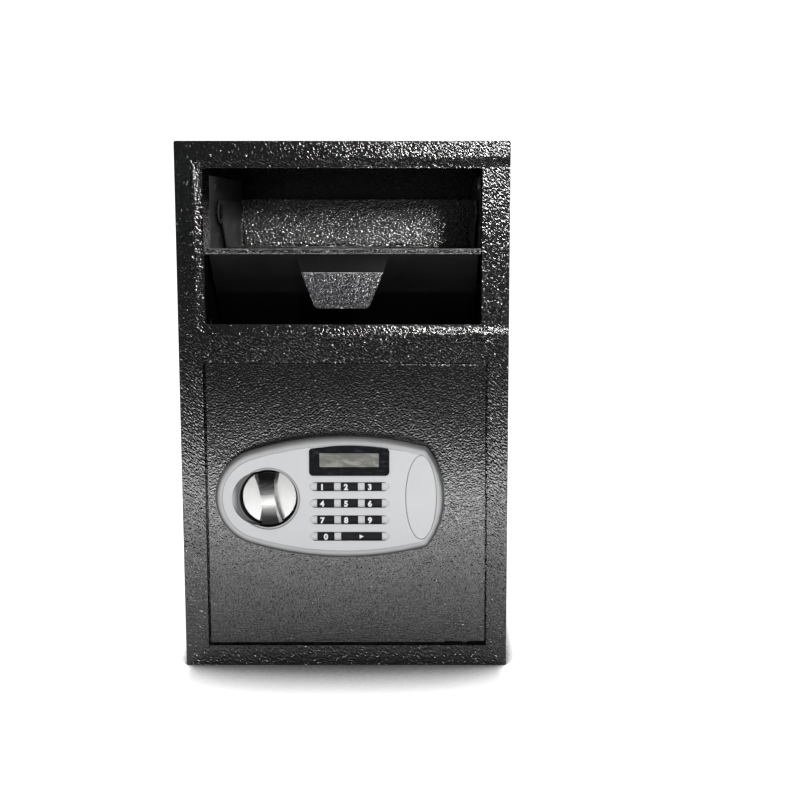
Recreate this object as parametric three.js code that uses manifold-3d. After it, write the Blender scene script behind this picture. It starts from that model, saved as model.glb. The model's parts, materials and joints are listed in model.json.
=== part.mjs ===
// Deposit safe: a steel cabinet with a tilting drop hopper above a door that
// carries an electronic lock. Millimetres, +Z up, the front faces -Y and the
// origin is the centre of the base.
import * as THREE from 'three';
import { mergeVertices } from 'three/addons/utils/BufferGeometryUtils.js';
import Module from 'manifold-3d';

const wasm = await Module();
wasm.setup();

// Cabinet
const width = 350;
const depth = 350;
const height = 565;
const sheet = 3;
const cabinetCorner = 2;
const seam = 0.3;

// Front frame: rails and stiles around the two openings
const topRail = 27.8;
const dropHeight = 163.2;
const dropSide = 29;
const dropCorner = 3;
const dropFlange = 45;
const dropFlangeSheet = 2;
const midRail = 41.1;
const bottomRail = 22.2;
const leftStile = 24.8;
const rightStile = 22;

// Door, its rebate and its pivots
const doorGapLeft = 2.6;
const doorGapRight = 1.6;
const doorGapLow = 3.2;
const doorGapTop = 1.2;
const doorThickness = 10;
const doorEdge = 1.2;
const rebateSheet = 2.5;
const rebateLip = 9.2;
const rebateLipHigh = 11.4;
const rebateClear = 2.8;
const hingeInset = 5;
const hingeRoom = 2.4;
const pinRadius = 3.5;
const pinClear = 0.5;
const pinReach = 20;
const pivotLow = 12;
const pivotHeight = 15;
const leafReach = 13;
const leafHalf = 3;
const notchRise = 2.1;
const notchWidth = 19;
const notchStep = 25;

// Hopper: the tray lies level when open, the face plate stands upright when shut
const pivotDepth = 97;
const pivotBelow = 72.5;
const hopperSwing = 46;
const rimDepth = 5;
const rimBelow = 115;
const faceLength = 150;
const trayEnd = 270;
const traySheet = 1.5;
const faceSheet = 3.5;
const cheekSheet = 1.2;
const cheekHeight = 55;
const cheekEar = 13;
const cheekNeckDepth = 112;
const cheekNeckDrop = 12;
const cheekFoot = 146;
const cheekRear = 1;
const cheekGap = 2.6;
const rimBarHeight = 6.4;
const rimBarRise = 0.8;
const rimBarCorner = 1.5;
const rimBarClear = 1.1;
const hopperPin = 5;
const pinHead = 1.5;
const pinCollar = 2.7;
const pinOverhang = 2.5;
const pinTail = 4;
const sidePlate = 2;
const sidePlateGap = 1;
const sidePlateTop = 34;
const sidePlateRear = 310;
const sidePlateLow = 230;
const baffleDepth = 292;
const baffleTop = 57;
const baffleMargin = 1;
const guardClear = 3.9;
const guardStart = 216;
const guardEnd = 282.6;
const guardSteps = 14;
const screwDepth = 93;
const screwLevels = [44, 157];
const screwRadius = 3;
const screwHead = 1.9;
const screwHeadRound = 0.7;
const screwOverhang = 2;
const screwTail = 6;
const nutHeight = 3.7;
const nutOverhang = 2.5;

// Pull tab under the rim bar
const tabTopWidth = 98;
const tabBendWidth = 86;
const tabEndWidth = 60;
const tabCorner = 6;
const tabNeck = 19.3;
const tabLip = 38;
const tabShift = -1;
const tabSheet = 2.5;
const tabInset = 1;
const tabLipTilt = 17;

// Lock panel on the door, x from the cabinet's centre, z from the panel's level
const lockRise = 11.45;
const panelThickness = 18;
const panelBevel = 6;
const panelLeft = -137.8;
const panelRight = 107.2;
const panelHalfHeight = 65.5;
const panelLeftRadius = 52.4;
const panelTopRadius = 340;
const panelRightRadius = 88;
const panelFillet = 10;
const panelStep = 0.8;
const panelStepInset = 8.5;
const panelStepDepth = 4;
const panelWall = 3;
const fineEdge = 0.4;

// Knob and its well, with a ramp scooped out beside it
const knobX = -80.3;
const knobRadius = 28.8;
const knobDisc = 4;
const knobRise = 18.5;
const knobWaist = 7.5;
const knobFlare = 12.3;
const knobCrown = 5;
const knobEdge = 0.8;
const knobLean = 7.6;
const wellRadius = 30.9;
const wellFloor = 2.4;
const wellLipRadius = 33.3;
const wellLipDepth = 0.9;
const rampShift = 11;
const rampRadius = 29.3;
const rampTilt = 18;
const rampStart = 0.6;
const shaftRadius = 5;
const shaftClear = 0.5;

// Keypad and display
const keypadX = 5.8;
const keyPitchX = 25.35;
const keyPitchZ = 18;
const keyTopRow = 13.1;
const keySlotWidth = 82.8;
const keySlotHeight = 9.8;
const keyBar = 6.9;
const keyClear = 0.35;
const keyTravel = 1.2;
const keyCorner = 1;
const keyCrownRadius = 7;
const keyCrown = 0.9;
const keySkirt = 1;
const keySkirtThickness = 1.7;
const bezelWidth = 84.6;
const bezelHeight = 32;
const bezelLow = 25;
const bezelArch = 3.5;
const bezelCorner = 4;
const bezelShoulder = 2;
const bezelProud = 0.9;
const bezelSeat = 1.4;
const windowWidth = 63.4;
const windowHeight = 15.3;
const windowLow = 34;
const windowCorner = 1;
const glassInset = 0.7;
const displayMargin = [3, 2];
const boardThickness = 1.6;
const boardMargin = 1;
const postRadius = 2.5;
const postInset = [5, 6];
const chipHalf = [8, 6];
const chipHeight = 2;
const matThickness = 1.7;
const cavityLow = -49;
const cavityHigh = 56;
const cavitySide = 46;

// Key lock behind the oval cover
const ovalX = 81.9;
const ovalLift = 1.3;
const ovalHalfWidth = 16.7;
const ovalHalfHeight = 45.75;
const ovalThickness = 3.4;
const ovalEdge = 0.6;
const ovalRecess = 6;
const barrelRadius = 9;
const barrelLength = 24;
const barrelLip = 2;
const barrelLipHeight = 1.6;
const coreRadius = 6;
const keywayWidth = 2;
const keywayHeight = 8;
const keywayDepth = 14;
const leverThickness = 2.7;
const leverReach = 26;
const leverHalf = 5;
const leverBoss = 3;

// Bolt work
const boltRadius = 9;
const boltThrow = 18;
const boltSpread = 90;
const boltDepth = 29;
const boltSide = 9;
const boltLength = 42;
const boltNose = 1;
const boltClear = 0.6;
const guideReach = 4;
const guideHalf = 15;
const camDepth = 16;
const camThickness = 4;
const camRadius = 18;
const camPinRadius = 3;
const camArm = boltThrow / Math.SQRT2;
const camSlotClear = 0.7;
const camPlateLow = 14;
const camPlateHigh = 24;
const carriageDepth = 21;
const carriageSheet = 4;
const carriageLeft = 36;
const carriageBar = 20;
const carriageBarEnd = 15;
const carriageEdge = 12;
const guideEdge = 10;
const armHalf = 10;
const studRadius = 4;
const studInset = 72;
const studSpread = 50;
const studProud = 3;
const plungerRadius = 3;
const plungerX = -34;
const plungerTravel = 6;
const plungerClear = 0.8;
const plungerTuck = 20;
const solenoidWidth = 28;
const solenoidHeight = 36;
const solenoidDepth = 24;
const solenoidBore = 22;
const solenoidGap = 4;
const keeperInset = 0.2;
const keeperRear = 6;
const keeperReach = 40;
const keeperClear = 2;

// Inner cover and what it carries, measured from the cover's top and hinge side
const coverSheet = 1.5;
const coverDepth = 48;
const coverSide = 12;
const coverHingeSide = 16;
const coverBoltClear = 1;
const cellRadius = 7.2;
const cellLength = 50.5;
const cellCount = 4;
const cellSpare = 0.4;
const cellPitchSpare = 0.3;
const cellNub = 2.75;
const cellNubHeight = 1.5;
const cellEndRoom = 1.5;
const cellDepthRoom = 2.4;
const boxWall = 1.5;
const boxFlange = 3;
const boxFlangeSheet = 1.2;
const boxSide = 74;
const boxDrop = 73.3;
const lidThickness = 1.6;
const lidOverlap = 2;
const lidGrip = { count: 3, half: 9, drop: 20, pitch: 3, width: 1.4, height: 0.8, root: 0.5 };
const resetSide = 24;
const resetDrop = 26.3;
const resetRadius = 4.5;
const resetTravel = 2;
const resetProud = 1;
const resetCollar = 2;
const resetRoot = 4;

// Floor
const matSide = 6;
const matFront = 22;
const matRear = 2;
const floorMat = 3;
const plugX = 90;
const plugY = 60;
const anchorRadius = 6;
const plugFlange = 3;
const plugThickness = 2.1;
const plugInset = 0.6;
const matHole = 5;

// Facets of round parts, and how far a cutting or hidden end runs past a face
const fineSides = 56;
const wideSides = 48;
const roundSides = 24;
const pinSides = 16;
const smallSides = 16;
const tinySides = 12;
const nutSides = 6;
const scoopSides = 120;
const crownSides = 96;
const keyCrownSides = 36;
const over = 1;

// Places worked out from the sizes above
const front = -depth / 2;
const rear = depth / 2;
const halfWidth = width / 2;
const innerHalf = halfWidth - sheet - seam;
const dropHalf = halfWidth - dropSide;
const dropTop = height - topRail;
const dropLow = dropTop - dropHeight;
const openLeft = -halfWidth + leftStile;
const openRight = halfWidth - rightStile;
const openLow = bottomRail;
const openTop = dropLow - midRail;
const doorLeft = openLeft + doorGapLeft;
const doorRight = openRight - doorGapRight;
const doorLow = openLow + doorGapLow;
const doorTop = openTop - doorGapTop;
const hingeX = doorRight - hingeInset;
const hingeDepth = hingeInset;
const rebateDepth = doorThickness + rebateClear;
const rebateRear = rebateDepth + rebateSheet;
const frameBack = sheet + seam;
const bore = pinRadius + pinClear;
const at = (inward) => front + inward;
const below = (drop) => height - drop;
const span = (a, b) => (a < b ? [a, b] : [b, a]);
const hopperHalf = dropHalf - cheekGap;
const cheekInner = hopperHalf - cheekSheet;
const plateInner = dropHalf + sidePlateGap;
const plateOuter = plateInner + sidePlate;
const panelFace = -panelThickness;
const lockLevel = (doorLow + doorTop) / 2 + lockRise;
const lockZ = (rise) => lockLevel + rise;
const boltX = doorLeft + boltSide;
const boltRear = boltX + boltLength;
const boltLevels = { upper: lockZ(boltSpread), lower: lockZ(-boltSpread) };
const carriageX = doorLeft + carriageLeft;
const carriageBack = carriageDepth + carriageSheet;
const camHome = camArm / Math.SQRT2;
const camPlateRight = knobX + camHome + camPinRadius + camSlotClear + carriageEdge;
const lockArmRight = plungerX + boltThrow + carriageEdge;
const lockArmLow = lockZ(-studSpread) - armHalf;
const studX = doorLeft + studInset;
const plateUnderside = panelFace + panelWall;
const skirtTop = plateUnderside + seam;
const skirtLow = skirtTop + keySkirtThickness;
const matTop = skirtLow + keyTravel + seam;
const boardTop = matTop + matThickness + seam;
const boardBack = boardTop + boardThickness;
const coverLeft = doorLeft + coverSide;
const coverRight = doorRight - coverHingeSide;
const coverLow = doorLow + coverSide;
const coverTop = doorTop - coverSide;
const boltGuideX = coverLeft + coverSheet + seam;
const boxX = coverRight - boxSide;
const boxZ = coverTop - boxDrop;
const resetX = coverRight - resetSide;
const resetZ = coverTop - resetDrop;
const ovalZ = lockZ(ovalLift);

// Materials
const paint = (color, roughness, metalness) =>
  new THREE.MeshStandardMaterial({ color, roughness, metalness });
const powderBlack = paint(0x1c1c1d, 0.55, 0.1);
const hopperPaint = paint(0x2c2c2d, 0.5, 0.15);
const zinc = paint(0xb9bcc0, 0.35, 0.9);
const steel = paint(0xd6d8da, 0.25, 1);
const silver = paint(0xcdced0, 0.35, 0.6);
const blackPlastic = paint(0x0e0e0f, 0.35, 0);
const rubber = paint(0x18181a, 0.85, 0);
const glass = paint(0x8d938b, 0.2, 0);
const boardGreen = paint(0x1f5a34, 0.5, 0);
const brass = paint(0xb9975a, 0.35, 0.9);
const red = paint(0xa31c1c, 0.45, 0);
const carpet = paint(0x2a2b2d, 0.95, 0);
const cellWrap = paint(0x3a4a5c, 0.4, 0.3);

// Outlines
const points = (list) => new THREE.Shape(list.map(([a, b]) => new THREE.Vector2(a, b)));
const rect = (a0, a1, b0, b1) => points([[a0, b0], [a1, b0], [a1, b1], [a0, b1]]);

function arc(cx, cy, radius, from, to, steps) {
  return Array.from({ length: steps + 1 }, (_, i) => {
    const angle = from + ((to - from) * i) / steps;
    return [cx + radius * Math.cos(angle), cy + radius * Math.sin(angle)];
  });
}

function disc(cx, cy, radius, sides = roundSides) {
  return points(arc(cx, cy, radius, 0, 2 * Math.PI * (1 - 1 / sides), sides - 1));
}

function ellipse(cx, cy, halfA, halfB, sides = 40) {
  return points(arc(0, 0, 1, 0, 2 * Math.PI * (1 - 1 / sides), sides - 1)
    .map(([a, b]) => [cx + a * halfA, cy + b * halfB]));
}

function rounded(a0, a1, b0, b1, radius, steps = 3) {
  const corner = (cx, cy, turn) =>
    arc(cx, cy, radius, (turn * Math.PI) / 2, ((turn + 1) * Math.PI) / 2, steps);
  return points([
    ...corner(a1 - radius, b1 - radius, 0),
    ...corner(a0 + radius, b1 - radius, 1),
    ...corner(a0 + radius, b0 + radius, 2),
    ...corner(a1 - radius, b0 + radius, 3),
  ]);
}

// Solids: an outline is carried along one axis, between two places on it
const X = new THREE.Vector3(1, 0, 0);
const Y = new THREE.Vector3(0, 1, 0);
const Z = new THREE.Vector3(0, 0, 1);
const turns = {
  x: new THREE.Matrix4().makeBasis(Y, Z, X),
  y: new THREE.Matrix4().makeBasis(X, Z, Y.clone().negate()),
  z: new THREE.Matrix4().makeBasis(X, Y, Z),
};

function solid(geometry) {
  geometry.deleteAttribute('normal');
  geometry.deleteAttribute('uv');
  const merged = mergeVertices(geometry, 1e-4);
  return new wasm.Manifold(new wasm.Mesh({
    numProp: 3,
    vertProperties: new Float32Array(merged.attributes.position.array),
    triVerts: new Uint32Array(merged.index.array),
  }));
}

function slab(outline, axis, from, to, bevel = 0, bevelSegments = 2) {
  const geometry = new THREE.ExtrudeGeometry(outline, {
    depth: to - from - 2 * bevel,
    bevelEnabled: bevel > 0,
    bevelThickness: bevel,
    bevelSize: bevel,
    bevelOffset: -bevel,
    bevelSegments,
    curveSegments: 8,
  });
  geometry.translate(0, 0, bevel);
  geometry.applyMatrix4(turns[axis]);
  const shift = { x: [from, 0, 0], y: [0, to, 0], z: [0, 0, from] }[axis];
  geometry.translate(...shift);
  return solid(geometry);
}

const block = (x0, x1, y0, y1, z0, z1) => slab(rect(x0, x1, z0, z1), 'y', y0, y1);
const rod = (axis, a, b, radius, from, to, sides = roundSides) =>
  slab(disc(a, b, radius, sides), axis, from, to);
const join = (first, ...rest) => rest.reduce((sum, piece) => sum.add(piece), first);
const cut = (first, ...rest) => rest.reduce((left, piece) => left.subtract(piece), first);

const safe = new THREE.Group();

function add(group, name, body, material) {
  const { vertProperties, triVerts } = body.getMesh();
  const geometry = new THREE.BufferGeometry();
  geometry.setAttribute('position', new THREE.BufferAttribute(vertProperties, 3));
  geometry.setIndex(new THREE.BufferAttribute(triVerts, 1));
  geometry.computeVertexNormals();
  const mesh = new THREE.Mesh(geometry, material);
  mesh.name = name;
  group.add(mesh);
}

// Cabinet: a folded shell between a flat back and the front frame
const cabinetOutline = rounded(-halfWidth, halfWidth, 0, height, cabinetCorner);

function cabinetShell() {
  const inside = rect(-halfWidth + sheet, halfWidth - sheet, sheet, height - sheet);
  const anchors = [-plugX, plugX].map((x) =>
    rod('z', x, plugY, anchorRadius, -over, sheet + over));
  return cut(
    slab(cabinetOutline, 'y', at(frameBack), rear - sheet - seam),
    slab(inside, 'y', front, rear),
    ...anchors,
  );
}

function backPanel() {
  return slab(cabinetOutline, 'y', rear - sheet, rear);
}

function frontFrame() {
  const plate = slab(cabinetOutline, 'y', front, at(sheet));
  const through = (outline) => slab(outline, 'y', front - over, at(sheet + over));
  const flange = (side) => {
    const [x0, x1] = span(side * dropHalf, side * (dropHalf + dropFlangeSheet));
    return block(x0, x1, at(sheet / 2), at(dropFlange), dropLow + dropCorner, dropTop - dropCorner);
  };
  const pinWays = [[openLow - rebateLip, openLow + over], [openTop - over, openTop + rebateLip]]
    .map(([z0, z1]) => rod('z', hingeX, at(hingeDepth), bore, z0, z1));
  return join(
    cut(
      plate,
      through(rounded(-dropHalf, dropHalf, dropLow, dropTop, dropCorner)),
      through(rect(openLeft, openRight, openLow, openTop)),
      ...pinWays,
    ),
    flange(-1),
    flange(1),
  );
}

// Rebate: an angle ring behind the frame, whose lip the door closes onto
function doorRebate() {
  const ring = slab(rect(
    openLeft - seam - rebateSheet, openRight + hingeRoom + rebateSheet,
    openLow - seam - rebateSheet, openTop + seam + rebateSheet,
  ), 'y', at(frameBack), at(rebateRear));
  const pocket = slab(rect(
    openLeft - seam, openRight + hingeRoom, openLow - seam, openTop + seam,
  ), 'y', front, at(rebateDepth));
  const way = slab(rect(
    openLeft + rebateLip, openRight - rebateLip - hingeRoom - over,
    openLow + rebateLipHigh, openTop - rebateLipHigh,
  ), 'y', front, rear);
  const pinNotch = rod('z', hingeX, at(hingeDepth), bore, 0, height);
  return cut(ring, pocket, way, pinNotch);
}

// Each pivot is a block behind the rail, a pin into the door's edge and a
// washer leaf that fills the gap at the hinge corner
function doorPivot(upper) {
  const away = upper ? 1 : -1;
  const rebateEdge = (upper ? openTop : openLow) + away * (seam + rebateSheet + seam);
  const blockEnd = upper ? rebateEdge + pivotHeight : sheet + seam;
  const pinEnd = upper ? doorTop - pinReach : doorLow + pinReach;
  const [leafLow, leafTop] = upper
    ? [doorTop + seam, openTop - seam]
    : [openLow + seam, doorLow + notchRise - seam];
  const y = at(hingeDepth);
  return join(
    block(hingeX - pivotLow, hingeX + pivotLow, at(frameBack), at(rebateRear),
      ...span(rebateEdge, blockEnd)),
    rod('z', hingeX, y, pinRadius, ...span(rebateEdge + away * over, pinEnd), smallSides),
    block(hingeX - leafReach, doorRight, y - leafHalf, y + leafHalf, leafLow, leafTop),
  );
}

// Side plates carry the hopper and close the way past it
const sides = (side, inner, outer) => span(side * inner, side * outer);
const pivotAt = [at(pivotDepth), below(pivotBelow)];

function hopperSide(side) {
  const web = sides(side, plateInner, plateOuter);
  const flange = sides(side, plateInner, innerHalf);
  const run = [at(dropFlange + sidePlate), at(sidePlateRear)];
  const [top, low] = [below(sidePlateTop), below(sidePlateLow)];
  const channel = join(
    block(...web, ...run, low, top),
    block(...flange, ...run, top - sidePlate, top),
    block(...flange, ...run, low, low + sidePlate),
  );
  const across = [web[0] - over, web[1] + over];
  const screws = screwLevels.map((drop) =>
    rod('x', at(screwDepth), below(drop), screwRadius + seam, ...across, tinySides));
  return cut(channel, rod('x', ...pivotAt, hopperPin + seam, ...across), ...screws);
}

function rearBaffle() {
  const half = plateInner - seam;
  const rise = [below(sidePlateLow - baffleMargin), below(baffleTop)];
  const wing = (side) => block(
    ...sides(side, half - sidePlate, half), at(baffleDepth), at(sidePlateRear - baffleMargin), ...rise);
  const wall = block(-half, half, at(baffleDepth), at(baffleDepth + sidePlate), ...rise);
  return join(wall, wing(-1), wing(1));
}

// Guard: a sheet rolled round the hopper's pivot, just clear of the face plate's edge
const radians = THREE.MathUtils.degToRad;
const faceRun = [Math.sin(radians(hopperSwing)), Math.cos(radians(hopperSwing))];
const faceEnd = [rimDepth + faceLength * faceRun[0], rimBelow + faceLength * faceRun[1]];
const faceSweep = Math.hypot(faceEnd[0] - pivotDepth, faceEnd[1] - pivotBelow);

function swingGuard() {
  const inner = faceSweep + guardClear;
  const [from, to] = [radians(guardStart), radians(guardEnd)];
  const outline = points([
    ...arc(...pivotAt, inner + sidePlate, from, to, guardSteps),
    ...arc(...pivotAt, inner, to, from, guardSteps),
  ]);
  const half = plateInner - seam;
  const ahead = block(-halfWidth, halfWidth, front - depth, at(frameBack), 0, height);
  return cut(slab(outline, 'x', -half, half), ahead);
}

function hopperPinPiece(side) {
  const head = cheekInner - seam;
  const collar = plateOuter + seam;
  const turned = (radius, inner, outer) =>
    rod('x', ...pivotAt, radius, ...sides(side, inner, outer), pinSides);
  return join(
    turned(hopperPin, head - over, plateOuter + pinTail),
    turned(hopperPin + pinOverhang, head - pinHead, head),
    turned(hopperPin + pinOverhang, collar, collar + pinCollar),
  );
}

function sideScrew(side, drop) {
  const place = [at(screwDepth), below(drop)];
  const head = plateInner - seam;
  const nut = plateOuter + seam;
  return join(
    rod('x', ...place, screwRadius, ...sides(side, plateInner - over, plateOuter + screwTail), tinySides),
    slab(disc(...place, screwRadius + screwOverhang, smallSides), 'x',
      ...sides(side, head - screwHead, head), screwHeadRound, 1),
    rod('x', ...place, screwRadius + nutOverhang, ...sides(side, nut, nut + nutHeight), nutSides),
  );
}

function boltKeeper() {
  const x1 = openLeft + keeperInset;
  const [x0, y1] = [x1 - sheet, at(boltDepth + boltRadius + keeperRear)];
  const rise = [boltLevels.lower - keeperReach, boltLevels.upper + keeperReach];
  const angle = join(
    block(x0, x1, at(rebateRear + seam), y1, ...rise),
    block(-innerHalf, x1, y1 - sheet, y1, ...rise),
  );
  const room = boltRadius + keeperClear;
  const windows = Object.values(boltLevels).map((z) =>
    block(x0 - over, x1 + over, at(boltDepth - room), at(boltDepth + room), z - room, z + room));
  return cut(angle, ...windows);
}

function floorMatPiece() {
  const half = innerHalf - matSide;
  const mat = block(-half, half, at(matFront), rear - sheet - seam - matRear,
    sheet + seam, sheet + seam + floorMat);
  return cut(mat, ...[-plugX, plugX].map((x) =>
    rod('z', x, plugY, anchorRadius + matHole, 0, height)));
}

function floorPlug(x) {
  return join(
    rod('z', x, plugY, anchorRadius - seam, plugInset, sheet + over),
    rod('z', x, plugY, anchorRadius + plugFlange, sheet + seam, sheet + seam + plugThickness),
  );
}

add(safe, 'cabinet_shell', cabinetShell(), powderBlack);
add(safe, 'back_panel', backPanel(), powderBlack);
add(safe, 'front_frame', frontFrame(), powderBlack);
add(safe, 'door_rebate', doorRebate(), powderBlack);
add(safe, 'lower_pivot', doorPivot(false), hopperPaint);
add(safe, 'upper_pivot', doorPivot(true), hopperPaint);
add(safe, 'hopper_side_left', hopperSide(-1), hopperPaint);
add(safe, 'hopper_side_right', hopperSide(1), hopperPaint);
add(safe, 'rear_baffle', rearBaffle(), hopperPaint);
add(safe, 'swing_guard', swingGuard(), hopperPaint);
add(safe, 'hopper_pin_left', hopperPinPiece(-1), hopperPaint);
add(safe, 'hopper_pin_right', hopperPinPiece(1), hopperPaint);
screwLevels.forEach((drop, i) => {
  add(safe, `side_screw_left_${i + 1}`, sideScrew(-1, drop), zinc);
  add(safe, `side_screw_right_${i + 1}`, sideScrew(1, drop), zinc);
});
add(safe, 'bolt_keeper', boltKeeper(), zinc);
add(safe, 'floor_mat', floorMatPiece(), carpet);
add(safe, 'floor_plug_left', floorPlug(-plugX), rubber);
add(safe, 'floor_plug_right', floorPlug(plugX), rubber);

// Hopper, open: tray level, face plate leaning back by the angle of its swing
const hopper = new THREE.Group();
safe.add(hopper);
const sideView = (list) => points(list.map(([inward, drop]) => [at(inward), below(drop)]));

function hopperPlate() {
  const half = cheekInner - seam;
  const inside = [faceRun[1] * faceSheet, -faceRun[0] * faceSheet];
  const innerFold = (traySheet - inside[1]) / faceRun[1];
  const outline = sideView([
    [rimDepth, rimBelow],
    faceEnd,
    [faceEnd[0] + inside[0], faceEnd[1] + inside[1]],
    [rimDepth + inside[0] + innerFold * faceRun[0], rimBelow + traySheet],
    [trayEnd, rimBelow + traySheet],
    [trayEnd, rimBelow],
  ]);
  return slab(outline, 'x', -half, half);
}

// Cheek: a side wall on the tray with an ear that reaches forward to the pivot
function hopperCheek(side) {
  const foot = rimBelow + traySheet;
  const outline = sideView([
    [pivotDepth, pivotBelow - cheekEar],
    [trayEnd - cheekRear, rimBelow - cheekHeight],
    [trayEnd - cheekRear, foot],
    [cheekFoot, foot],
    [cheekNeckDepth, pivotBelow + cheekNeckDrop],
    ...arc(pivotDepth, pivotBelow, cheekEar, Math.PI / 2, 1.5 * Math.PI, 8).slice(0, -1),
  ]);
  const [x0, x1] = sides(side, cheekInner, hopperHalf);
  const hole = rod('x', ...pivotAt, hopperPin + seam, x0 - over, x1 + over, pinSides);
  return cut(slab(outline, 'x', x0, x1), hole);
}

const rimBarTop = below(rimBelow - rimBarRise - rimBarHeight / 2);
const rimBarLow = rimBarTop - rimBarHeight;

function rimBar() {
  const half = dropHalf - rimBarClear;
  return slab(rounded(front, at(rimDepth - seam), rimBarLow, rimBarTop, rimBarCorner), 'x', -half, half);
}

// Tab: an upright neck, and a lip that is bent forward at the fold line
function pullTab() {
  const top = rimBarLow - seam;
  const fold = top - tabNeck;
  const half = tabBendWidth / 2;
  const y0 = at(tabInset);
  const middle = y0 + tabSheet / 2;
  const neck = slab(points([
    [-half, fold], [half, fold], [tabTopWidth / 2, top], [-tabTopWidth / 2, top],
  ]), 'y', y0, y0 + tabSheet);
  const run = tabEndWidth / 2 - tabCorner;
  const slant = Math.atan2(half - tabEndWidth / 2, tabLip - tabCorner);
  const lip = slab(points([
    ...arc(run, tabCorner - tabLip, tabCorner, -Math.PI / 2, -slant, 4),
    [half, 0], [-half, 0],
    ...arc(-run, tabCorner - tabLip, tabCorner, Math.PI + slant, 1.5 * Math.PI, 4),
  ]), 'y', -tabSheet / 2, tabSheet / 2)
    .rotate([-tabLipTilt, 0, 0])
    .translate([0, middle, fold]);
  return join(neck, lip, rod('x', middle, fold, tabSheet / 2, -half, half, tinySides))
    .translate([tabShift, 0, 0]);
}

add(hopper, 'hopper_plate', hopperPlate(), hopperPaint);
add(hopper, 'hopper_cheek_left', hopperCheek(-1), hopperPaint);
add(hopper, 'hopper_cheek_right', hopperCheek(1), hopperPaint);
add(hopper, 'rim_bar', rimBar(), powderBlack);
add(hopper, 'pull_tab', pullTab(), powderBlack);

// Door
const door = new THREE.Group();
safe.add(door);

function doorPanel() {
  const plate = slab(rect(doorLeft, doorRight, doorLow, doorTop), 'y', front, at(doorThickness), doorEdge);
  const inside = at(doorThickness - over);
  const guides = Object.values(boltLevels).map((z) => cut(
    block(boltGuideX, boltGuideX + sheet, inside, at(boltDepth + boltRadius + guideReach),
      z - guideHalf, z + guideHalf),
    rod('x', at(boltDepth), z, boltRadius + boltClear, boltGuideX - over, boltGuideX + sheet + over),
  ));
  const studs = [1, -1].map((side) => rod('y', studX, lockZ(side * studSpread), studRadius,
    inside, at(carriageBack + studProud), smallSides));
  const through = (x, z, radius) => rod('y', x, z, radius, front - over, at(doorThickness + over));
  const pinBore = (z0, z1) => rod('z', hingeX, at(hingeDepth), bore, z0, z1);
  const notches = [0, notchStep].map((step) => block(
    doorRight - step - notchWidth, doorRight - step + (step ? 0 : over),
    front - over, at(doorThickness + over), doorLow - over, doorLow + notchRise));
  return cut(
    join(plate, ...guides, ...studs),
    through(knobX, lockLevel, shaftRadius + shaftClear),
    through(ovalX, ovalZ, barrelRadius + seam),
    pinBore(doorLow - over, doorLow + pinReach + over),
    pinBore(doorTop - pinReach - over, doorTop + over),
    ...notches,
  );
}

// Inner cover: a pan over the bolt work, with holes for the bolts, the battery
// box and the reset button
const boxHalf = cellCount * (cellRadius + cellSpare) + boxWall;
const boxHalfTall = cellLength / 2 + cellEndRoom + boxWall;
const boxFloor = coverDepth - 2 * cellRadius - cellDepthRoom;
const boxRect = (grow) => [
  boxX - boxHalf - grow, boxX + boxHalf + grow, boxZ - boxHalfTall - grow, boxZ + boxHalfTall + grow];

function innerCover() {
  const outer = slab(rect(coverLeft, coverRight, coverLow, coverTop), 'y',
    at(doorThickness + seam), at(coverDepth));
  const inner = slab(rect(
    coverLeft + coverSheet, coverRight - coverSheet, coverLow + coverSheet, coverTop - coverSheet,
  ), 'y', front, at(coverDepth - coverSheet));
  const boltHoles = Object.values(boltLevels).map((z) => rod('x', at(boltDepth), z,
    boltRadius + coverBoltClear, coverLeft - over, coverLeft + coverSheet + over));
  const resetHole = rod('y', resetX, resetZ, resetRadius + seam, front, rear, smallSides);
  return cut(outer, inner, ...boltHoles, slab(rect(...boxRect(seam)), 'y', front, rear), resetHole);
}

function batteryBox() {
  const flangeBack = at(coverDepth + seam);
  const outer = join(
    slab(rect(...boxRect(0)), 'y', at(boxFloor - boxWall), flangeBack),
    slab(rect(...boxRect(boxFlange)), 'y', flangeBack, flangeBack + boxFlangeSheet),
  );
  return cut(outer, slab(rect(...boxRect(-boxWall)), 'y', at(boxFloor), rear));
}

function cell(index) {
  const x = boxX + (index - (cellCount - 1) / 2) * 2 * (cellRadius + cellPitchSpare);
  const y = at(boxFloor + seam + cellRadius);
  const up = index % 2 ? 1 : -1;
  const end = boxZ + (up * cellLength) / 2;
  return join(
    rod('z', x, y, cellRadius, ...span(end - up * cellLength, end - up * cellNubHeight / 2)),
    rod('z', x, y, cellNub, ...span(end - up * cellNubHeight, end), tinySides),
  );
}

function batteryLid() {
  const y0 = at(coverDepth + seam + boxFlangeSheet + seam);
  const y1 = y0 + lidThickness;
  const grips = Array.from({ length: lidGrip.count }, (_, i) => {
    const z = boxZ - lidGrip.drop + i * lidGrip.pitch;
    return block(boxX - lidGrip.half, boxX + lidGrip.half,
      y1 - lidGrip.root, y1 + lidGrip.height, z, z + lidGrip.width);
  });
  return join(slab(rounded(...boxRect(lidOverlap), lidOverlap), 'y', y0, y1), ...grips);
}

function resetButton() {
  const seat = coverDepth - coverSheet;
  const turned = (radius, from, to) => rod('y', resetX, resetZ, radius, at(from), at(to), smallSides);
  return join(
    turned(resetRadius, seat - resetRoot, coverDepth + resetTravel + resetProud),
    turned(resetRadius + resetCollar, seat - resetCollar, seat - seam),
  );
}

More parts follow.
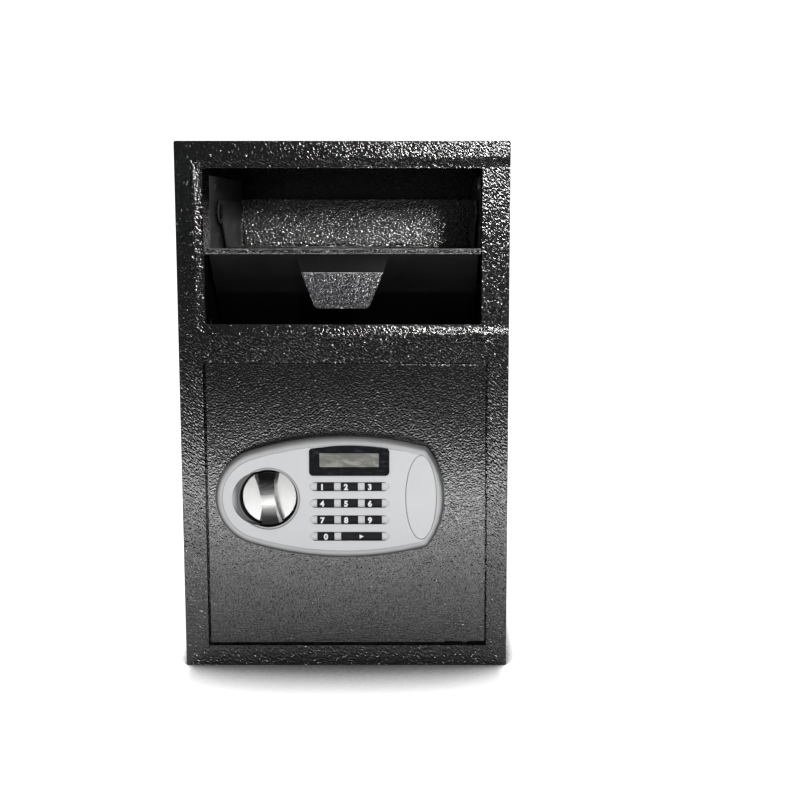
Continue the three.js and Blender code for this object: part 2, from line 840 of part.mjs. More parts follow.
// Lock panel outline: a left arc round the knob, a long flat arc above and
// below, a wide arc at the right and a fillet where the two meet
function panelOutline(inset) {
  const left = { x: panelLeft + panelLeftRadius, r: panelLeftRadius - inset };
  const drop = panelHalfHeight - panelTopRadius;
  const reach = panelTopRadius - panelLeftRadius;
  const top = { x: left.x + Math.sqrt(reach ** 2 - drop ** 2), y: drop, r: panelTopRadius - inset };
  const right = { x: panelRight - panelRightRadius, r: panelRightRadius - inset };
  const inner = { a: panelTopRadius - panelFillet, b: panelRightRadius - panelFillet };
  const apart = Math.hypot(right.x - top.x, -top.y);
  const along = (inner.a ** 2 - inner.b ** 2 + apart ** 2) / (2 * apart);
  const aside = Math.sqrt(inner.a ** 2 - along ** 2);
  const unit = [(right.x - top.x) / apart, -top.y / apart];
  const fillet = {
    x: top.x + along * unit[0] + aside * unit[1],
    y: top.y + along * unit[1] - aside * unit[0],
    r: Math.max(panelFillet - inset, 1),
  };
  const leftTurn = Math.atan2(-top.y, left.x - top.x);
  const topTurn = Math.atan2(fillet.y - top.y, fillet.x - top.x);
  const rightTurn = Math.atan2(fillet.y, fillet.x - right.x);
  const upper = [
    ...arc(left.x, 0, left.r, Math.PI, leftTurn, 9),
    ...arc(top.x, top.y, top.r, leftTurn, topTurn, 9).slice(1),
    ...arc(fillet.x, fillet.y, fillet.r, topTurn, rightTurn, 4).slice(1),
    ...arc(right.x, 0, right.r, rightTurn, 0, 4).slice(1),
  ];
  const lower = upper.slice(1, -1).map(([x, z]) => [x, -z]);
  return points([...lower, ...upper.reverse()].map(([x, z]) => [x, lockZ(z)]));
}

const keyX = (column) => keypadX + (column - 1) * keyPitchX;
const keyRow = (row) => lockZ(keyTopRow - row * keyPitchZ);
const keyHole = keyPitchX - keyBar;
const startX = (keyX(1) + keyX(2)) / 2;
const startHole = keyPitchX + keyHole;
const crown = (z) => rod('x', at(panelFace - keyCrown + keyCrownRadius), z, keyCrownRadius,
  -width, width, keyCrownSides);

// Each row of keys lies in a slot with round ends
function keySlots(grow, from, to) {
  const half = [keySlotWidth / 2 + grow, keySlotHeight / 2 + grow];
  return [0, 1, 2, 3].map((row) => slab(rounded(
    keypadX - half[0], keypadX + half[0], keyRow(row) - half[1], keyRow(row) + half[1],
    half[1] * 0.998, 5,
  ), 'y', from, to));
}

function keyHoles() {
  const hole = (x, row, wide) => block(
    x - wide / 2, x + wide / 2, at(panelFace - panelWall), at(plateUnderside + over),
    keyRow(row) - keySlotHeight / 2, keyRow(row) + keySlotHeight / 2);
  const grid = [0, 1, 2].flatMap((row) =>
    [0, 1, 2].map((column) => hole(keyX(column), row, keyHole)));
  return [...grid, hole(keyX(0), 3, keyHole), hole(startX, 3, startHole)];
}

// The ramp runs down from the face beside the well until the well's wall cuts it off
function wellRamp() {
  const drop = rampStart + rampRadius * Math.sin(radians(rampTilt));
  return rod('y', 0, 0, rampRadius, -panelThickness * 2, 0, wideSides)
    .rotate([0, 0, rampTilt])
    .translate([knobX - rampShift, at(panelFace + drop), lockLevel]);
}

function lockHousing() {
  const outside = at(panelFace - over);
  const shell = slab(panelOutline(0), 'y', at(panelFace + panelStep), at(-seam), panelBevel, 4);
  const raised = slab(panelOutline(panelStepInset), 'y', at(panelFace), at(panelFace + panelStepDepth),
    fineEdge, 1);
  const round = (x, z, radius, to, facets) => rod('y', x, z, radius, outside, to, facets);
  const cavity = block(
    keypadX - cavitySide, keypadX + cavitySide, at(plateUnderside), rear,
    lockZ(cavityLow), lockZ(cavityHigh));
  const body = cut(
    join(shell, raised),
    round(knobX, lockLevel, wellRadius, at(-wellFloor - seam), fineSides),
    round(knobX, lockLevel, wellLipRadius, at(panelFace + wellLipDepth), fineSides),
    wellRamp(),
    round(knobX, lockLevel, shaftRadius + shaftClear, rear),
    slab(bezelOutline(seam), 'y', outside, at(panelFace + bezelSeat)),
    slab(windowOutline(seam), 'y', outside, at(plateUnderside + over)),
    cavity,
    slab(ellipse(ovalX, ovalZ, ovalHalfWidth, ovalHalfHeight), 'y', outside, at(panelFace + ovalRecess)),
    round(ovalX, ovalZ, barrelRadius + seam, rear),
    ...keySlots(0, outside, at(plateUnderside + over)),
  );
  const bars = keySlots(seam, at(panelFace - panelWall), at(plateUnderside))
    .map((bar, row) => bar.intersect(crown(keyRow(row))));
  return cut(join(body, ...bars), ...keyHoles());
}

function bezelOutline(grow) {
  const half = bezelWidth / 2 + grow;
  const [low, high] = [lockZ(bezelLow) - grow, lockZ(bezelLow + bezelHeight) + grow];
  const shoulder = high - bezelArch - bezelShoulder;
  const radius = (half ** 2 + bezelArch ** 2) / (2 * bezelArch);
  const lean = Math.asin(half / radius) * 0.96;
  const corner = (side, from) => arc(
    keypadX + side * (half - bezelCorner), low + bezelCorner, bezelCorner, from, from + Math.PI / 2, 3);
  return points([
    ...corner(-1, Math.PI),
    ...corner(1, 1.5 * Math.PI),
    [keypadX + half, shoulder],
    ...arc(keypadX, high - radius, radius, Math.PI / 2 - lean, Math.PI / 2 + lean, 10),
    [keypadX - half, shoulder],
  ]);
}

const windowOutline = (grow) => rounded(
  keypadX - windowWidth / 2 - grow, keypadX + windowWidth / 2 + grow,
  lockZ(windowLow) - grow, lockZ(windowLow) + windowHeight + grow, windowCorner);

function lcdBezel() {
  const plate = slab(bezelOutline(0), 'y', at(panelFace - bezelProud), at(panelFace + bezelSeat - seam),
    fineEdge, 1);
  return cut(plate, slab(windowOutline(0), 'y', front - depth, rear));
}

function lcdDisplay() {
  const pane = slab(windowOutline(-seam), 'y', at(panelFace - bezelProud + glassInset),
    at(plateUnderside + seam + over / 2));
  const [side, edge] = [windowWidth / 2 + displayMargin[0], displayMargin[1]];
  const module = block(keypadX - side, keypadX + side, at(plateUnderside + seam), at(boardTop - seam),
    lockZ(windowLow) - edge, lockZ(windowLow) + windowHeight + edge);
  return join(pane, module);
}

function keyPiece(x, row, hole) {
  const half = hole / 2 - keyClear;
  const tall = keySlotHeight / 2 - keyClear;
  const z = keyRow(row);
  const cap = slab(rounded(x - half, x + half, z - tall, z + tall, keyCorner), 'y',
    at(panelFace - panelWall), at(skirtLow)).intersect(crown(z));
  const skirt = block(x - half - keySkirt, x + half + keySkirt, at(skirtTop), at(skirtLow),
    z - tall - keySkirt, z + tall + keySkirt);
  return join(cap, skirt);
}

// Key mat: a rubber sheet between the keys and the circuit board
const boardHalf = cavitySide - boardMargin;

function keyMat() {
  return block(keypadX - boardHalf, keypadX + boardHalf, at(matTop), at(matTop + matThickness),
    lockZ(cavityLow + boardMargin), keyRow(0) + keyPitchZ / 2);
}

function circuitBoard() {
  const board = block(keypadX - boardHalf, keypadX + boardHalf, at(boardTop), at(boardBack),
    lockZ(cavityLow + boardMargin), lockZ(cavityHigh - boardMargin));
  const [inX, inZ] = postInset;
  const posts = [-1, 1].flatMap((side) => [cavityLow + inZ, cavityHigh - inZ].map((rise) =>
    rod('y', keypadX + side * (boardHalf - inX), lockZ(rise), postRadius,
      at(boardTop + boardThickness / 2), at(-seam), tinySides)));
  const [chipX, chipZ] = chipHalf;
  const chip = block(keypadX - chipX, keypadX + chipX, at(boardTop + boardThickness / 2),
    at(boardBack + chipHeight), lockZ(-chipZ), lockZ(chipZ));
  return join(board, chip, ...posts);
}

function keyCover() {
  return slab(ellipse(ovalX, ovalZ, ovalHalfWidth - seam, ovalHalfHeight - seam), 'y',
    at(panelFace), at(panelFace + ovalThickness), ovalEdge, 1);
}

const barrelSeat = panelFace + ovalRecess - seam;
const turnedLock = (radius, from, to) => rod('y', ovalX, ovalZ, radius, at(from), at(to));

function lockBarrel() {
  const body = join(
    turnedLock(barrelRadius, barrelSeat, barrelLength),
    turnedLock(barrelRadius + barrelLip, barrelSeat - barrelLipHeight, barrelSeat),
  );
  return cut(body, turnedLock(coreRadius + seam, -depth, depth));
}

function lockCore() {
  const face = barrelSeat - barrelLipHeight + seam;
  const leverRun = [barrelLength + seam, barrelLength + seam + leverThickness];
  const keyway = block(ovalX - keywayWidth / 2, ovalX + keywayWidth / 2, front - depth,
    at(face + keywayDepth), ovalZ - keywayHeight / 2, ovalZ + keywayHeight / 2);
  const core = join(
    turnedLock(coreRadius, face, barrelLength + over),
    turnedLock(coreRadius + leverBoss, ...leverRun),
    block(ovalX - leverHalf, ovalX + leverHalf, ...leverRun.map(at), ovalZ - leverReach, ovalZ),
  );
  return cut(core, keyway);
}

// Knob: a disc whose two flanks are scooped away, leaving an hourglass grip
const knobBack = -wellFloor - 2 * seam;

function knobPiece() {
  const discFace = knobBack - knobDisc;
  const gripTop = knobBack - knobRise;
  const full = slab(disc(0, 0, knobRadius, fineSides), 'y', gripTop, knobBack, knobEdge, 2);
  const bow = knobFlare - knobWaist;
  const scoopRadius = (knobRadius ** 2 + bow ** 2) / (2 * bow);
  const scoops = [-1, 1].map((side) =>
    rod('y', side * (knobWaist + scoopRadius), 0, scoopRadius, gripTop - over, discFace, scoopSides));
  const crownRadius = (knobRadius ** 2 + knobCrown ** 2) / (2 * knobCrown);
  const top = rod('x', gripTop + crownRadius, 0, crownRadius, -width, width, crownSides);
  return cut(full, ...scoops).intersect(top)
    .rotate([0, -knobLean, 0])
    .translate([knobX, front, lockLevel]);
}

// Shaft, cam and cam pin: the pin works the carriage through its upright slot
function knobShaft() {
  return join(
    rod('y', knobX, lockLevel, shaftRadius, at(knobBack + seam), at(camDepth + over)),
    rod('y', knobX, lockLevel, camRadius, at(camDepth), at(camDepth + camThickness), crownSides / 3),
    rod('y', knobX + camHome, lockZ(camHome), camPinRadius, at(camDepth + over), at(carriageBack),
      smallSides),
  );
}

function boltCarriage() {
  const plate = (x1, z0, z1) => block(carriageX, x1, at(carriageDepth), at(carriageBack), z0, z1);
  const depths = [at(carriageDepth - over), at(carriageBack + over)];
  const slotHalf = camPinRadius + camSlotClear;
  const camSlot = block(knobX + camHome - slotHalf, knobX + camHome + slotHalf, ...depths,
    lockZ(camHome) - slotHalf, lockZ(camArm) + slotHalf);
  const studRun = studRadius + boltClear;
  const studSlots = [1, -1].map((side) => slab(rounded(
    studX - studRun, studX + boltThrow + studRun,
    lockZ(side * studSpread) - studRun, lockZ(side * studSpread) + studRun, studRun * 0.998, 4,
  ), 'y', ...depths));
  const notchHalf = plungerRadius + plungerClear;
  const notches = [plungerX, plungerX + boltThrow].map((x) => block(
    x - notchHalf, x + notchHalf, ...depths, lockArmLow - over, lockArmLow + plungerTravel + over));
  return cut(
    join(
      plate(carriageX + carriageBar, boltLevels.lower - carriageBarEnd, boltLevels.upper + carriageBarEnd),
      plate(camPlateRight, lockZ(-camPlateLow), lockZ(camPlateHigh)),
      plate(studX + boltThrow + studRadius + guideEdge,
        lockZ(studSpread - armHalf), lockZ(studSpread + armHalf)),
      plate(lockArmRight, lockArmLow, lockArmLow + 2 * armHalf),
    ),
    camSlot,
    ...studSlots,
    ...notches,
  );
}

// Each bolt is flattened at its inner end, where it lies on the carriage
function lockBolt(z) {
  const body = slab(disc(at(boltDepth), z, boltRadius, roundSides), 'x', boltX, boltRear, boltNose, 1);
  return cut(body, block(carriageX - over, boltRear + over, front, at(carriageBack + seam), 0, height));
}

const plungerTop = lockArmLow - plungerClear;
const solenoidTop = plungerTop - solenoidGap;
const plungerAt = [plungerX, at(carriageDepth + carriageSheet / 2)];

function solenoid() {
  const y0 = at(doorThickness + seam);
  const frame = block(plungerX - solenoidWidth / 2, plungerX + solenoidWidth / 2,
    y0, y0 + solenoidDepth, solenoidTop - solenoidHeight, solenoidTop);
  return cut(frame, rod('z', ...plungerAt, plungerRadius + seam,
    solenoidTop - solenoidBore, solenoidTop + over));
}

function solenoidPlunger() {
  return rod('z', ...plungerAt, plungerRadius, solenoidTop - plungerTuck, plungerTop, pinSides);
}

add(door, 'door_panel', doorPanel(), powderBlack);
add(door, 'inner_cover', innerCover(), powderBlack);
add(door, 'battery_box', batteryBox(), blackPlastic);
for (let i = 0; i < cellCount; i += 1) add(door, `cell_${i + 1}`, cell(i), cellWrap);
add(door, 'battery_lid', batteryLid(), blackPlastic);
add(door, 'reset_button', resetButton(), red);
add(door, 'lock_housing', lockHousing(), silver);
add(door, 'lcd_bezel', lcdBezel(), blackPlastic);
add(door, 'lcd_display', lcdDisplay(), glass);
add(door, 'key_mat', keyMat(), rubber);
add(door, 'circuit_board', circuitBoard(), boardGreen);
for (let digit = 1; digit <= 9; digit += 1) {
  const row = Math.floor((digit - 1) / 3);
  add(door, `key_${digit}`, keyPiece(keyX((digit - 1) % 3), row, keyHole), blackPlastic);
}
add(door, 'key_0', keyPiece(keyX(0), 3, keyHole), blackPlastic);
add(door, 'key_start', keyPiece(startX, 3, startHole), blackPlastic);
add(door, 'key_cover', keyCover(), silver);
add(door, 'lock_barrel', lockBarrel(), brass);
add(door, 'lock_core', lockCore(), brass);
add(door, 'knob', knobPiece(), steel);
add(door, 'knob_shaft', knobShaft(), zinc);
add(door, 'bolt_carriage', boltCarriage(), zinc);
add(door, 'upper_bolt', lockBolt(boltLevels.upper), steel);
add(door, 'lower_bolt', lockBolt(boltLevels.lower), steel);
add(door, 'solenoid', solenoid(), zinc);
add(door, 'solenoid_plunger', solenoidPlunger(), steel);

export default safe;
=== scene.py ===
"""Looks of the deposit safe: wrinkle paint, silver lock panel, polished knob.

Lengths are in metres, apart from those marked as millimetres.
"""

import json
import math

import bmesh
import bpy
import numpy as np
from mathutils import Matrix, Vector


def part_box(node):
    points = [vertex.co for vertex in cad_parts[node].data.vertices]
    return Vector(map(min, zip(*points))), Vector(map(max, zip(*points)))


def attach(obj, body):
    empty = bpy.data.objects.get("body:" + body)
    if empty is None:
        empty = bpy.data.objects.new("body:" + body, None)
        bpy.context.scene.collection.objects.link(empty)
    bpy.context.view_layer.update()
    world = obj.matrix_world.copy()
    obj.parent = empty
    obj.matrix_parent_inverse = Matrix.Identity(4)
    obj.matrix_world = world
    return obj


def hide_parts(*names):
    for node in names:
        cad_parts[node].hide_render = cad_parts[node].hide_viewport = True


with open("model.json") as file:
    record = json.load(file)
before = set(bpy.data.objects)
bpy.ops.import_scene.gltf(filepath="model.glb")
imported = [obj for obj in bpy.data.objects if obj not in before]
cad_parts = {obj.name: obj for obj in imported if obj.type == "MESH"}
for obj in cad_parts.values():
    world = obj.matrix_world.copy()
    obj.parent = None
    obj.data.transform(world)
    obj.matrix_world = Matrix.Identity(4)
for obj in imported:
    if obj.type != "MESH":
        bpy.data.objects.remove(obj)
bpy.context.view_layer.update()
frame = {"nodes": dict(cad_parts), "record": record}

MM = 0.001
record = frame["record"]
body_of = {node: body for body, nodes in record["behaviour"]["bodies"].items() for node in nodes}
slot_of = {part["node"]: part["material_slot"] for part in record["subparts"]}
DIGITS = "1234567890"
KEYS = [f"key_{digit}" for digit in DIGITS] + ["key_start"]


def put(name, data):
    """A new object in the scene."""
    thing = bpy.data.objects.new(name, data)
    bpy.context.scene.collection.objects.link(thing)
    return thing


# Camera: the photograph's view, square frame. Lens and sensor in millimetres
CAMERA_AT = (0.0808, -1.5604, 0.4882)
CAMERA_PITCH = math.radians(82)
CAMERA_LENS = 59.085
CAMERA_SENSOR = 36
CAMERA_SHIFT = -0.025
CAMERA_REACH = 50


def make_camera():
    lens = bpy.data.cameras.new("camera")
    lens.lens = CAMERA_LENS
    lens.sensor_width = CAMERA_SENSOR
    lens.shift_x = CAMERA_SHIFT
    lens.clip_end = CAMERA_REACH
    camera = put("camera", lens)
    camera.location = CAMERA_AT
    camera.rotation_euler = (CAMERA_PITCH, 0, 0)
    bpy.context.scene.camera = camera


make_camera()
bpy.context.scene.view_settings.view_transform = "Standard"


# Shader nodes
class Wire:
    """A shader socket that Python arithmetic can be written on."""

    def __init__(self, nodes, socket):
        self.nodes = nodes
        self.socket = socket

    def math(self, operation, *values):
        return self.nodes.node("ShaderNodeMath", {"operation": operation}, dict(enumerate(values)))

    def __add__(self, other):
        return self.math("ADD", self, other)

    def __radd__(self, other):
        return self.math("ADD", other, self)

    def __sub__(self, other):
        return self.math("SUBTRACT", self, other)

    def __rsub__(self, other):
        return self.math("SUBTRACT", other, self)

    def __mul__(self, other):
        return self.math("MULTIPLY", self, other)

    def __rmul__(self, other):
        return self.math("MULTIPLY", other, self)

    def __abs__(self):
        return self.math("ABSOLUTE", self)

    def most(self, other):
        return self.math("MAXIMUM", self, other)

    def root(self):
        return self.math("SQRT", self)

    def above(self, low, high):
        """0 below low, 1 above high, and a smooth rise between them."""
        return self.nodes.node("ShaderNodeMapRange", {"interpolation_type": "SMOOTHSTEP"},
                               {"Value": self, "From Min": low, "From Max": high})

    def within(self, low, high, edge):
        """1 between low and high, 0 outside them, with soft edges."""
        return self.above(low - edge, low) * (1 - self.above(high, high + edge))


def rgba(shade):
    """A grey level, a red-green-blue triple or a wire, as a colour socket takes it."""
    if isinstance(shade, Wire):
        return shade
    return (*shade, 1) if isinstance(shade, tuple) else (shade, shade, shade, 1)


class Nodes:
    """A node tree whose nodes all come from one method."""

    def __init__(self, tree, coordinate):
        self.tree = tree
        self.tree.nodes.clear()
        self.place = self.node("ShaderNodeTexCoord", output=coordinate)

    def node(self, kind, settings=None, inputs=None, output=0):
        """Makes a node, sets it, then sets or links its sockets; gives one output's wire."""
        made = self.tree.nodes.new(kind)
        for name, value in (settings or {}).items():
            setattr(made, name, value)
        for name, value in (inputs or {}).items():
            if isinstance(value, Wire):
                self.tree.links.new(value.socket, made.inputs[name])
            else:
                made.inputs[name].default_value = value
        return Wire(self, made.outputs[output]) if len(made.outputs) else None

    def axis(self, name):
        return self.node("ShaderNodeSeparateXYZ", inputs={"Vector": self.place}, output=name)

    def ray(self, name):
        return self.node("ShaderNodeLightPath", output=f"Is {name} Ray")


ASKEW = (0.7, 0.4, 0.6)
CREVICE_SAMPLES = 8


class Finish(Nodes):
    """One material and the patterns that its surfaces are made of."""

    def __init__(self, name):
        self.material = bpy.data.materials.new(name)
        self.material.use_nodes = True
        super().__init__(self.material.node_tree, "Object")

    def noise(self, size, detail=2.0, rough=0.5, stretch=None, lean=0.0):
        """Clouds whose blobs are about size metres across, pulled long by stretch.

        The pull leans by an angle about the Y axis. The pattern's own lattice is turned
        askew, so that its rows don't show on a flat sheet.
        """
        where = self.place
        if stretch:
            where = self.node("ShaderNodeMapping", {"vector_type": "TEXTURE"}, {
                "Vector": where, "Rotation": (0, lean, 0), "Scale": stretch})
        where = self.node("ShaderNodeMapping", inputs={"Vector": where, "Rotation": ASKEW})
        return self.node("ShaderNodeTexNoise", inputs={
            "Vector": where, "Scale": 1 / size, "Detail": detail, "Roughness": rough})

    def color(self, factor, low, high):
        return self.node(
            "ShaderNodeMix", {"data_type": "RGBA"},
            {"Factor": factor, "A": rgba(low), "B": rgba(high)}, output="Result")

    def crevice(self, reach):
        """1 on open surfaces, falling towards 0 in narrow corners within reach metres."""
        return self.node("ShaderNodeAmbientOcclusion", {"samples": CREVICE_SAMPLES},
                         {"Distance": reach}, output="AO")

    def bump(self, height, distance):
        return self.node("ShaderNodeBump", inputs={"Height": height, "Distance": distance})

    def surface(self, **values):
        """The closing shader; a name such as base_color sets the Base Color socket."""
        inputs = {name.replace("_", " ").title().replace("Ior", "IOR"): value
                  for name, value in values.items()}
        shader = self.node("ShaderNodeBsdfPrincipled", inputs=inputs)
        self.node("ShaderNodeOutputMaterial", inputs={"Surface": shader})
        return self.material


# Places on the object that finishes are laid out from
knob_low, knob_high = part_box("knob")
KNOB = (knob_low + knob_high) / 2
PANEL_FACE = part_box("lock_housing")[0].y
RIM_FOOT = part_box("rim_bar")[0].z
TAB_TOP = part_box("pull_tab")[1].z
COVER_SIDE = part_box("key_cover")[0].x


def from_knob(paint):
    """How far a point lies across and above the knob's middle."""
    return paint.axis("X") - KNOB.x, paint.axis("Z") - KNOB.z


def length(across, up):
    return (across * across + up * up).root()


# Wrinkle paint: its two patterns' shares, the heights its painted dip shade spans, and the foot
RIDGE_SHARE, RIPPLE_SHARE = 0.5, 0.9
RIPPLE_SIZE = 0.85
DIP, CREST = 0.75, 1.1
FOOT_FULL, FOOT_END, FOOT_GAIN = 0.04, 0.2, 2
BLUE_LIFT = 1.1
CALM_SHADE_BLACK = 0.003


def wrinkle_paint(name, grain, relief, stretch, lean=0.0, dark=0.003, light=0.008, shape=None,
                  calm=None, ior=2.1):
    """Powder coat that dried in worm-like ridges, with painted shade in the dips between them.

    The ridges follow 1 - |2n - 1| of a cloud pattern n, on a second, rounder pattern.
    The coat is heavier towards the foot. shape adds a broad height in millimetres, and
    calm flattens the coat and darkens it to near black, as painted shade, where it is 1.
    """
    paint = Finish(name)
    ridge = 1 - abs(2 * paint.noise(grain, detail=1.0, stretch=stretch, lean=lean) - 1)
    ripple = paint.noise(grain * RIPPLE_SIZE, detail=0.5, rough=0.4, stretch=stretch, lean=lean)
    height = ridge * RIDGE_SHARE + ripple * RIPPLE_SHARE
    # Painted shade: the base colour darkens from the crests down into the dips.
    tint = paint.color(height.above(DIP, CREST), dark, (light, light, light * BLUE_LIFT))
    foot = 1 - paint.axis("Z").above(FOOT_FULL, FOOT_END)
    height = height * (1 + FOOT_GAIN * foot)
    if calm:
        level = calm(paint)
        height = height * (1 - level)
        # Painted shade: where calm is 1 the tint drops to near black.
        tint = paint.color(level, tint, CALM_SHADE_BLACK)
    if shape:
        height = height + shape(paint) * (MM / relief)
    patch = paint.noise(size=0.07, detail=3.0)
    return paint.surface(
        base_color=tint, roughness=0.1 + patch * 0.08,
        normal=paint.bump(height, relief), ior=ior)


# The drop opening in the frame's front, and the roll of its edge (depth in millimetres)
DROP_HALF = 0.146
DROP_LOW, DROP_TOP = 0.374, 0.5372
ROLL_REACH = 0.012
ROLL_DEPTH = 1.1


def rolled_opening(paint):
    """The sheet's height in millimetres: ROLL_DEPTH * smoothstep(d / ROLL_REACH).

    d is the distance outside the opening's rectangle, not counted past its right side.
    """
    middle, half = (DROP_LOW + DROP_TOP) / 2, (DROP_TOP - DROP_LOW) / 2
    aside = (-DROP_HALF - paint.axis("X")).most(0)
    apart = (abs(paint.axis("Z") - middle) - half).most(0)
    return length(aside, apart).above(0, ROLL_REACH) * ROLL_DEPTH


NECK_LENGTH = 0.0193
FOLD_WIDTH = 0.001


def tab_neck(paint):
    """1 on the upright neck of the pull tab, above its fold, which is given painted shade."""
    fold = TAB_TOP - NECK_LENGTH
    return paint.axis("Z").above(fold, fold + FOLD_WIDTH)


# Near black of the painted shade below a given height, and the width of its edge
BELOW_SHADE_BLACK = 0.004
SHADE_LINE_EDGE = 0.004
PEEL_RELIEF = 0.00003


def plain_paint(name, value, roughness, shaded_below=None):
    """Smooth semi-gloss enamel with a little orange peel and dust.

    Below a given height it turns near black, as painted shade.
    """
    paint = Finish(name)
    peel = paint.noise(size=0.0035, detail=1.5)
    haze = paint.noise(size=0.05, detail=4.0, rough=0.6)
    tint = paint.color(haze.above(0.35, 0.75), value * 0.85, value * 1.25)
    if shaded_below:
        above_shade = paint.axis("Z").above(shaded_below, shaded_below + SHADE_LINE_EDGE)
        tint = paint.color(above_shade, BELOW_SHADE_BLACK, tint)
    return paint.surface(base_color=tint, roughness=roughness + haze * 0.15,
                         normal=paint.bump(peel, PEEL_RELIEF))


# Lock panel: depths behind its face, radii about the knob, and colours, with the greys of its
# painted shade
RIM_START, RIM_FULL = 0.0008, 0.0034
WELL_START, WELL_FULL = 0.0011, 0.0016
WELL_INSIDE, WELL_OUTSIDE = 0.0310, 0.0314
LIP_INSIDE, LIP_OUTSIDE, LIP_EDGE, LIP_SHADOW_SHARE = 0.0331, 0.0335, 0.0003, 0.7
COVER_MARGIN, COVER_EDGE = 0.004, 0.002
CORNER_REACH = 0.003
SILVER_DIM, SILVER = (0.52, 0.525, 0.535), (0.64, 0.645, 0.655)
RIM_SHADE_GREY = (0.13, 0.13, 0.132)
CORNER_SHADE_GREY = (0.04, 0.04, 0.042)
LIP_SHADOW_GREY = 0.05
WELL_SHADE_BLACK = 0.004


def silver_panel():
    """Fine metallic paint on moulded plastic; painted shade darkens its rounded rim and corners.

    The well round the knob gets painted shade, near black and dull, and its lip a painted
    shadow line. The painted corner shade is left off at the oval cover.
    """
    paint = Finish("silver_panel")
    flake = paint.noise(size=0.0006, detail=1.0)
    cloud = paint.noise(size=0.06, detail=2.0)
    face = paint.color(flake * 0.5 + cloud * 0.5, SILVER_DIM, SILVER)
    depth = paint.axis("Y")
    # Painted shade: the rounded rim behind the face turns darker grey.
    rim = depth.above(PANEL_FACE + RIM_START, PANEL_FACE + RIM_FULL)
    tint = paint.color(rim, face, RIM_SHADE_GREY)
    # Painted shade: narrow corners darken, except next to the oval cover.
    at_cover = paint.axis("X").above(COVER_SIDE - COVER_MARGIN, COVER_SIDE - COVER_EDGE)
    open_face = paint.crevice(CORNER_REACH).above(0.32, 0.95).most(at_cover)
    tint = paint.color(open_face, CORNER_SHADE_GREY, tint)
    away = length(*from_knob(paint))
    # Painted shadow line round the knob's lip.
    lip_shadow = away.within(LIP_INSIDE, LIP_OUTSIDE, LIP_EDGE)
    tint = paint.color(lip_shadow * LIP_SHADOW_SHARE, tint, LIP_SHADOW_GREY)
    # Painted shade: the knob's well goes near black and dull, for the shade and gap round the
    # knob.
    inside = 1 - away.above(WELL_INSIDE, WELL_OUTSIDE)
    well_shade = inside * depth.above(PANEL_FACE + WELL_START, PANEL_FACE + WELL_FULL)
    tint = paint.color(well_shade, tint, WELL_SHADE_BLACK)
    return paint.surface(
        base_color=tint, metallic=0.22 * (1 - well_shade), roughness=0.36 + flake * 0.1 + well_shade * 0.4,
        normal=paint.bump(flake, 0.00001))


# Grip: half width at its waist, flare per metre, edge, and where its ends get painted shade
GRIP_WAIST, GRIP_FLARE, GRIP_EDGE = 0.0072, 5.5, 0.0006
GRIP_SHADE_MIDDLE, GRIP_SHADE_START, GRIP_SHADE_FULL = 0.001, 0.007, 0.021
GRIP_SHADE_GREY = (0.05, 0.05, 0.052)


def polished_knob():
    """Satin plating with faint turning marks; the two ends of the grip carry painted shade.

    The grip's half width is GRIP_WAIST + GRIP_FLARE z^2 at the height z from its middle.
    """
    metal = Finish("polished_knob")
    marks = metal.noise(size=0.004, detail=3.0, stretch=(1, 5, 0.08))
    across, up = from_knob(metal)
    width = GRIP_WAIST + up * up * GRIP_FLARE
    grip = 1 - (abs(across) - width).above(0, GRIP_EDGE)
    # Painted shade on the grip's two ends, for the dark surroundings that they mirror.
    shaded_ends = grip * abs(up - GRIP_SHADE_MIDDLE).above(GRIP_SHADE_START, GRIP_SHADE_FULL)
    plate = metal.color(marks, (0.42, 0.42, 0.415), (0.48, 0.48, 0.475))
    return metal.surface(base_color=metal.color(shaded_ends, plate, GRIP_SHADE_GREY), metallic=1.0,
                         roughness=0.22 + marks * 0.08)


def brushed(name, color, roughness, stretch=(1, 1, 0.07)):
    """Drawn or plated metal with a directional grain."""
    metal = Finish(name)
    grain = metal.noise(size=0.006, detail=3.0, rough=0.6, stretch=stretch)
    stain = metal.noise(size=0.03, detail=4.0, rough=0.65)
    dull = tuple(part * 0.72 for part in color)
    return metal.surface(
        base_color=metal.color(stain.above(0.3, 0.75) * 0.7 + grain * 0.3, dull, color),
        metallic=0.95, roughness=roughness + grain * 0.18, normal=metal.bump(grain, 0.00002))


def moulded(name, color, roughness, relief=0.00002, size=0.0009, ior=1.45):
    """Moulded plastic or rubber with a fine spark-eroded texture."""
    plastic = Finish(name)
    texture = plastic.noise(size, detail=2.0)
    wear = plastic.noise(size=0.02, detail=4.0)
    pale = tuple(min(1, part * 1.5 + 0.004) for part in color)
    return plastic.surface(
        base_color=plastic.color(wear.above(0.45, 0.8), color, pale),
        roughness=roughness + wear * 0.1, normal=plastic.bump(texture, relief), ior=ior)


def gloss_black():
    """Polished black lens with faint wipe marks."""
    gloss = Finish("bezel_gloss")
    wipes = gloss.noise(size=0.006, detail=4.0, rough=0.6, stretch=(2, 1, 0.6))
    tint = gloss.color(wipes.above(0.5, 0.8), (0.008, 0.009, 0.011), (0.035, 0.038, 0.042))
    return gloss.surface(base_color=tint, roughness=0.12 + wipes * 0.2, ior=1.15)


